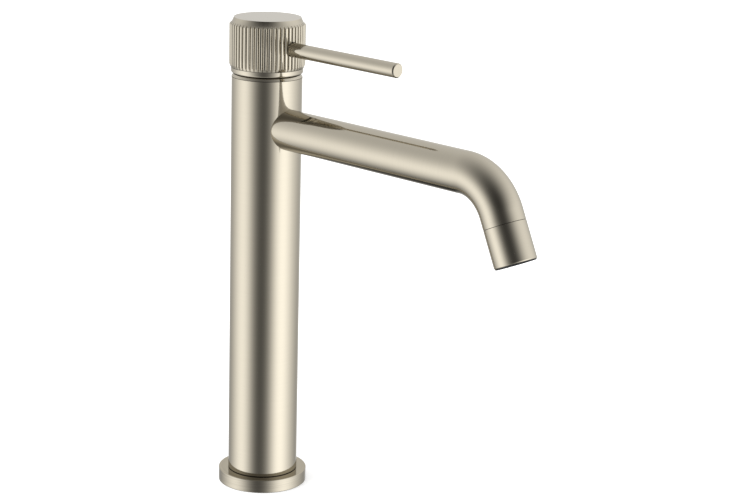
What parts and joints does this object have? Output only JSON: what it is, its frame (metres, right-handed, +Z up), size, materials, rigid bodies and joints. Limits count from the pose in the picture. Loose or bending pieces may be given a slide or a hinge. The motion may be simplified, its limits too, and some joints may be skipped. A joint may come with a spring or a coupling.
{
  "type": "basin mixer tap",
  "caption": "Tall single-lever basin mixer: round column on a flange, bent tubular spout with aerator, fluted knob with a pin lever that lifts and swivels.",
  "frame": {"origin": "centre of the foot flange's underside, on the deck", "axes": "+Z up along the column, +X along the spout and the lever, +Y towards the left-hand (hot) side seen by a user who faces the spout"},
  "size_m": [0.238, 0.0536, 0.287],
  "materials": {
    "brushed_nickel": "satin brushed nickel finish, warm",
    "raw_brass": "machined",
    "nickel_inside": "machined, uncoated",
    "black_rubber": "matt",
    "white_plastic": "moulded",
    "grey_plastic": "moulded",
    "ceramic_disc": "lapped",
    "steel": "plain"
  },
  "bodies": {
    "root": {"base_flange": "brushed_nickel", "foot_gasket": "black_rubber", "base_adapter": "nickel_inside", "column_tube": "brushed_nickel", "valve_body": "raw_brass", "cover_ring": "brushed_nickel", "spout_tube": "brushed_nickel", "spout_nipple": "raw_brass", "nipple_seal": "black_rubber", "aerator_sleeve": "brushed_nickel", "aerator_washer": "black_rubber", "aerator_screen": "steel", "aerator_insert": "grey_plastic", "port_seals": "black_rubber", "cartridge_base": "white_plastic", "fixed_disc": "ceramic_disc", "cartridge_housing": "white_plastic", "retaining_nut": "raw_brass"},
    "guide": {"rotating_guide": "grey_plastic", "pivot_pin": "steel"},
    "disc": {"disc_driver": "white_plastic", "moving_disc": "ceramic_disc"},
    "handle": {"stem": "raw_brass", "knob": "brushed_nickel", "lever_rod": "brushed_nickel", "grub_screw": "steel"}
  },
  "joints": [
    {"name": "handle_swivel", "type": "hinge", "parent": "root", "child": "guide", "pos_m": [0, 0, 0.2412], "axis": [0, 0, 1], "range_deg": [-50, 50]},
    {"name": "handle_tilt", "type": "hinge", "parent": "guide", "child": "handle", "pos_m": [0, 0, 0.2412], "axis": [0, -1, 0], "range_deg": [0, 20]},
    {"name": "disc_slide", "type": "slide", "parent": "guide", "child": "disc", "axis": [1, 0, 0], "range_m": [0, 0.0024]}
  ],
  "couplings": [
    {"joint": "disc_slide", "follows": "handle_tilt", "m_per_rad": 0.0065}
  ]
}
